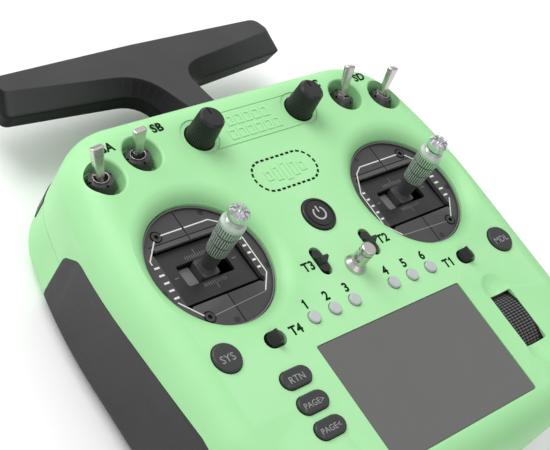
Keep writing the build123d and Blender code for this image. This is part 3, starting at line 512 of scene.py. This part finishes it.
PILL_BARS = [((i - 2) * 4.4 - 0.5, 44.0, 2.4, tall) for i, tall in enumerate((3.6, 5.6, 7.4, 5.6, 3.6))]
PANEL_BARS = [((i - 2) * 4.6, 71.6, 3.0, 3.8) for i in range(5)]
PANEL_BARS += [((i - 2.5) * 4.6, 65.4, 3.0, 3.8) for i in range(6)]
piece("pill_motif", mesh_from("pill_motif", framed_bars(PILL_BARS)), CASE, "body")
piece("panel_motif", mesh_from("panel_motif", framed_bars(PANEL_BARS)), CASE, "body")


# ---------------------------------------------------------------- scroll wheel window

WINDOW_WIDTH = 12.5 * MM
WINDOW_LENGTH = 23.7 * MM
WINDOW_GAP = 0.02 * MM
# Painted shade walls inside the wheel's window: their thickness, depth and drop below the face.
SHADE_WALL = 0.3 * MM
SHADE_WALL_DEPTH = 5.5 * MM
SHADE_WALL_DROP = 0.25 * MM
SCOOP_AT = 14.0 * MM
SCOOP_ROUND = 17.8 * MM
SCOOP_DEPTH = 1.4 * MM
SHADE_WALL_STEPS = 24
SHADE_WALL_SPAN = 0.98


def liner_top(along):
    scoop = SCOOP_DEPTH - (abs(along) - SCOOP_AT) ** 2 / (2 * SCOOP_ROUND)
    return FACE_Z - SHADE_WALL_DROP - max(0.0, scoop)


def add_wall(work, stations):
    """A closed wall through stations of (near corner, far corner, low, high)."""
    rings = []
    for (ax, ay), (bx, by), low, high in stations:
        rings.append([work.verts.new(spot) for spot in ((ax, ay, low), (bx, by, low), (bx, by, high),
                                                        (ax, ay, high))])
    for before, after in zip(rings, rings[1:]):
        for i in range(4):
            j = (i + 1) % 4
            work.faces.new((before[i], before[j], after[j], after[i]))
    work.faces.new(rings[0])
    work.faces.new(list(reversed(rings[-1])))


def wheel_liner(work):
    """Painted shade: black walls round the inside of the wheel's window, standing in for the shade there, which dip
    with the finger scoops at its ends.
    """
    middle, top = centre("scroll_wheel")
    low = FACE_Z - SHADE_WALL_DEPTH
    for side in (-1, 1):
        outer = middle.x + side * (WINDOW_WIDTH / 2 - WINDOW_GAP)
        inner = outer - side * SHADE_WALL
        stations = []
        for i in range(SHADE_WALL_STEPS + 1):
            along = WINDOW_LENGTH * (i / SHADE_WALL_STEPS - 0.5) * SHADE_WALL_SPAN
            y = middle.y + along
            stations.append(((inner, y), (outer, y), low, liner_top(along)))
        add_wall(work, stations)
        end = middle.y + side * (WINDOW_LENGTH / 2 - WINDOW_GAP)
        inner_end = end - side * SHADE_WALL
        half = WINDOW_WIDTH / 2 - SHADE_WALL
        high = liner_top(WINDOW_LENGTH / 2)
        add_wall(work, [((middle.x - half, inner_end), (middle.x - half, end), low, high),
                        ((middle.x + half, inner_end), (middle.x + half, end), low, high)])


# Painted shade: black walls inside the wheel's window make it look shaded.
piece("wheel_window_painted_shade", mesh_from("wheel_window_painted_shade", wheel_liner), BLACK, "body")


# ---------------------------------------------------------------- gimbals

def gimbal_points(side, points):
    return [(side * (GIMBAL_X - px * MM), GIMBAL_Y + py * MM) for px, py in points]


def settle(work):
    """Turn what was built level into the plane of the yoke at rest."""
    pivot = Vector((0.0, GIMBAL_Y, PIVOT_Z))
    turn = Matrix.Translation(pivot) @ Matrix.Rotation(-STICK_REST, 4, "X") @ Matrix.Translation(-pivot)
    bmesh.ops.transform(work, matrix=turn, verts=work.verts)


PLATE_LINES = [[(-10.4, 17.4), (-0.5, 17.4)],
               [(0.5, 17.4), (12.0, 17.4), (15.8, 15.0), (20.9, 6.0), (20.9, -10.0), (15.5, -16.4)],
               [(-14.3, 16.0), (-20.8, 9.1), (-20.8, 7.6)],
               [(-20.6, -8.8), (-14.2, -16.8)]]
FAINT_LINES = [[(15.3, -16.7), (-10.2, -18.1)]]
PLATE_LINE = 0.5 * MM
FAINT_LINE = 0.25 * MM
# Width, inset and step of the painted highlight ring along the rim lip.
RIM_HIGHLIGHT_LINE = 0.22 * MM
RIM_HIGHLIGHT_INSET = 0.35 * MM
RIM_HIGHLIGHT_STEP = 7.5
TICKS = 5
TICK_TOP = 6.0
TICK_STEP = 3.25
TICK_WIDTH = 0.8 * MM
TICK_SPANS = [(-21.0, -18.7), (18.6, 20.2)]
NOTCHES = [(11.0, 21.0), (23.3, -7.5), (-23.4, -4.0), (-3.0, -22.6)]
NOTCH_RADIUS = 1.2 * MM


def gimbal_print(side):
    def build(work):
        z = PLATE_Z + PRINT_LIFT
        for line in PLATE_LINES:
            add_ribbon(work, gimbal_points(side, line), PLATE_LINE, z, PRINT_THICK)
        for i in range(TICKS):
            y = TICK_TOP - TICK_STEP * i
            for start, end in TICK_SPANS:
                add_ribbon(work, gimbal_points(side, [(start, y), (end, y)]), TICK_WIDTH, z, PRINT_THICK)
    return build


def faint_print(side):
    def build(work):
        for line in FAINT_LINES:
            add_ribbon(work, gimbal_points(side, line), FAINT_LINE, PLATE_Z + PRINT_LIFT, PRINT_THICK)
        # Painted highlight: a thin light-grey ring along the top of the plate's rim lip, standing in for the light
        # its edge catches.
        last = 360 - RIM_HIGHLIGHT_STEP
        rim_highlight = arc_points(side * GIMBAL_X, GIMBAL_Y, RING_RADIUS - RIM_HIGHLIGHT_INSET, 0, last, int(last / RIM_HIGHLIGHT_STEP))
        add_ribbon(work, rim_highlight, RIM_HIGHLIGHT_LINE, RINGS_HIGH.z + PRINT_LIFT, PRINT_THICK, closed=True)
    return build


SCALE_FROM_SLOT = 5.5 * MM
SCALE_SHORT = 1.5 * MM
SCALE_LONG = 3.6 * MM
SCALE_LINE = 0.16 * MM
SCALE_STEPS = 5
SIDE_MARK_AT = 12.6 * MM
SIDE_MARK_LENGTH = 1.8 * MM
SIDE_MARK_LINE = 0.2 * MM


def yoke_print(side):
    """A fine millimetre scale above and below the slot, and a mark at each end of it."""
    def build(work):
        z = YOKE_TOP + PRINT_LIFT
        x = side * GIMBAL_X
        for edge in (-1, 1):
            near = GIMBAL_Y + edge * SCALE_FROM_SLOT
            for i in range(-SCALE_STEPS, SCALE_STEPS + 1):
                far = near + edge * (SCALE_LONG if i == 0 else SCALE_SHORT)
                add_ribbon(work, [(x + i * MM, near), (x + i * MM, far)], SCALE_LINE, z, PRINT_THICK)
            start = x + edge * SIDE_MARK_AT
            end = start + edge * SIDE_MARK_LENGTH
            add_ribbon(work, [(start, GIMBAL_Y), (end, GIMBAL_Y)], SIDE_MARK_LINE, z, PRINT_THICK)
        settle(work)
    return build


def rim_notches(side):
    def build(work):
        for x, y in gimbal_points(side, NOTCHES):
            add_disc(work, x, y, NOTCH_RADIUS, PLATE_Z + PRINT_LIFT, PRINT_THICK)
    return build


SHUTTER_AT = -6.75 * MM
SHUTTER_SIZE = (5.3 * MM, 8.2 * MM, 1.4 * MM, 1.0)
SHUTTER_DEPTH = 3.2 * MM
SHUTTER_EDGE = 0.3 * MM


def shutter(side):
    """The light slide that closes the slot beside the stick."""
    def build(work):
        middle = Vector((side * GIMBAL_X + SHUTTER_AT, GIMBAL_Y, YOKE_TOP - SHUTTER_DEPTH))
        place = Matrix.Translation(middle) @ Matrix.Diagonal(SHUTTER_SIZE)
        bmesh.ops.create_cube(work, size=1.0, matrix=place)
        bmesh.ops.bevel(work, geom=work.edges[:], offset=SHUTTER_EDGE, segments=2, affect="EDGES")
        settle(work)
    return build


for side, word in ((-1, "left"), (1, "right")):
    piece(word + "_plate_print", mesh_from("plate_print", gimbal_print(side)), INK_LIGHT, "body")
    piece(word + "_plate_faint_print_and_rim_highlight", mesh_from("plate_faint_print_and_rim_highlight", faint_print(side)), INK_GREY_AND_RIM_HIGHLIGHT, "body")
    piece(word + "_plate_notches", mesh_from("plate_notches", rim_notches(side)), BLACK, "body")
    piece(word + "_yoke_scale", mesh_from("yoke_scale", yoke_print(side)), INK_GREY_AND_RIM_HIGHLIGHT, word + "_yoke")
    piece(word + "_slot_shutter", mesh_from("slot_shutter", shutter(side)), SHUTTER, word + "_stick")


# ---------------------------------------------------------------- stage, light and camera

def look_from(place, right, up, forward):
    turn = Matrix((right, up, (-forward[0], -forward[1], -forward[2]))).transposed().to_4x4()
    return Matrix.Translation(place) @ turn


def area_light(name, place, aim, size, power):
    data = bpy.data.lights.new(name, "AREA")
    data.shape = "SQUARE"
    data.size = size
    data.energy = power
    lamp = bpy.data.objects.new(name, data)
    bpy.context.scene.collection.objects.link(lamp)
    lamp.location = place
    lamp.rotation_euler = (Vector(aim) - Vector(place)).to_track_quat("-Z", "Y").to_euler()
    return lamp


FLOOR_HALF = 6.0
FLOOR_GAP = 0.05 * MM
SUBJECT = (0.0, 0.0, 0.03)
LENS_MM = 90.45
CAMERA_PLACE = (-0.35233, -0.12752, 0.41006)
CAMERA_RIGHT = (0.71305, -0.55486, 0.42859)
CAMERA_UP = (0.25884, 0.77645, 0.57457)
CAMERA_AHEAD = (0.65158, 0.29876, -0.69727)


def build_floor():
    size = FLOOR_HALF
    low = cad_box[0].z - FLOOR_GAP
    mesh = bpy.data.meshes.new("floor")
    mesh.from_pydata([(-size, -size, low), (size, -size, low), (size, size, low), (-size, size, low)], [],
                     [(0, 1, 2, 3)])
    floor = bpy.data.objects.new("floor", mesh)
    mesh.materials.append(finish_material("floor_paper", (0.93, 0.93, 0.93, 1.0), (0.95, 0.95, 0.95, 1.0),
                                          roughness=0.9, rough_spread=0.02, grain=200.0, bump=0.02,
                                          bump_size=0.0001, blotch=3.0))
    bpy.context.scene.collection.objects.link(floor)


def light_world(tree):
    """White overhead, falling to grey at the horizon, so that bright metal has something to mirror."""
    coords = tree.nodes.new("ShaderNodeTexCoord")
    split = tree.nodes.new("ShaderNodeSeparateXYZ")
    tree.links.new(coords.outputs["Generated"], split.inputs["Vector"])
    back = tree.nodes["Background"]
    back.inputs["Color"].default_value = (1.0, 1.0, 1.0, 1.0)
    tree.links.new(ranged(tree, split.outputs["Z"], 0.28, 0.86, 0.0, 0.8), back.inputs["Strength"])


build_floor()
world = bpy.data.worlds.new("studio")
bpy.context.scene.world = world
world.use_nodes = True
light_world(world.node_tree)
area_light("key", (-0.45, 1.15, 1.1), SUBJECT, size=1.1, power=19.0)
area_light("fill", (-0.6, -1.2, 1.2), SUBJECT, size=1.2, power=3.0)

camera_data = bpy.data.cameras.new("camera")
camera_data.sensor_width = 36.0
camera_data.lens = LENS_MM
camera = bpy.data.objects.new("camera", camera_data)
bpy.context.scene.collection.objects.link(camera)
camera.matrix_world = look_from(CAMERA_PLACE, CAMERA_RIGHT, CAMERA_UP, CAMERA_AHEAD)
bpy.context.scene.camera = camera
bpy.context.scene.view_settings.view_transform = "Standard"
